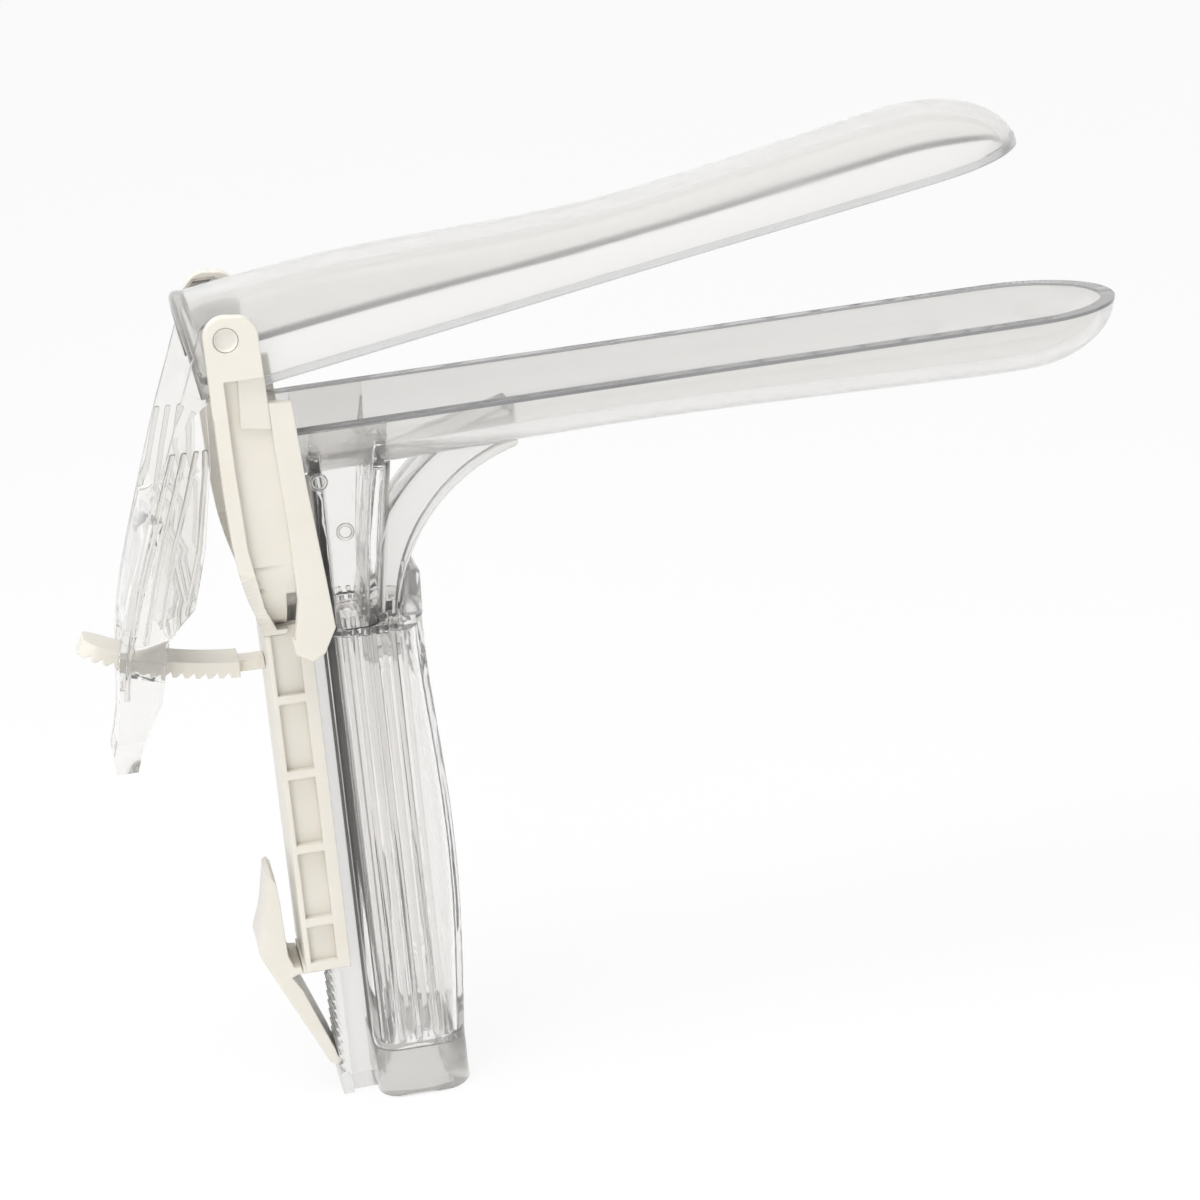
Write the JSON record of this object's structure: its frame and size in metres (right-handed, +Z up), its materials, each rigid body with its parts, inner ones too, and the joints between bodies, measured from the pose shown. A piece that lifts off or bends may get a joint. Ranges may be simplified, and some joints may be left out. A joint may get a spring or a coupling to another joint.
{
  "type": "bivalve speculum",
  "caption": "Clear plastic bivalve speculum with a hollow handle, curved light guide, thumb lever and an ivory yoke that slides on a toothed rail.",
  "frame": {"origin": "centre of the light socket's mouth, at the foot of the handle", "axes": "+X towards the tips of the bills, +Y to the side away from the camera, +Z up the handle"},
  "size_m": [0.1579, 0.0364, 0.1376],
  "materials": {
    "clear_plastic": "clear, glossy, slightly milky",
    "ivory_plastic": "opaque, satin"
  },
  "bodies": {
    "handle": {"handle_shell": "clear_plastic", "guide_rail": "clear_plastic", "neck_gusset": "clear_plastic", "light_guide": "clear_plastic", "lower_bill": "clear_plastic"},
    "yoke": {"yoke_frame": "ivory_plastic", "slide_channel": "ivory_plastic"},
    "strap": {"ratchet_strap": "ivory_plastic"},
    "latch": {"release_latch": "ivory_plastic"},
    "upper_blade": {"upper_bill": "clear_plastic", "thumb_lever": "clear_plastic", "hinge_stubs": "clear_plastic"}
  },
  "joints": [
    {"name": "yoke_lift", "type": "slide", "parent": "handle", "child": "yoke", "axis": [0, 0, 1], "range_m": [0, 0.018]},
    {"name": "bill_pivot", "type": "hinge", "parent": "yoke", "child": "upper_blade", "pos_m": [-0.0165, 0, 0.1197], "axis": [0, -1, 0], "range_deg": [-11, 11]},
    {"name": "strap_flex", "type": "hinge", "parent": "yoke", "child": "strap", "pos_m": [-0.01555, 0, 0.0677], "axis": [0, 1, 0], "range_deg": [0, 2.5], "stiffness_Nm_per_rad": 0.2},
    {"name": "latch_flex", "type": "hinge", "parent": "yoke", "child": "latch", "pos_m": [-0.0159, 0, 0.0206], "axis": [0, 1, 0], "range_deg": [0, 5], "stiffness_Nm_per_rad": 0.1}
  ]
}
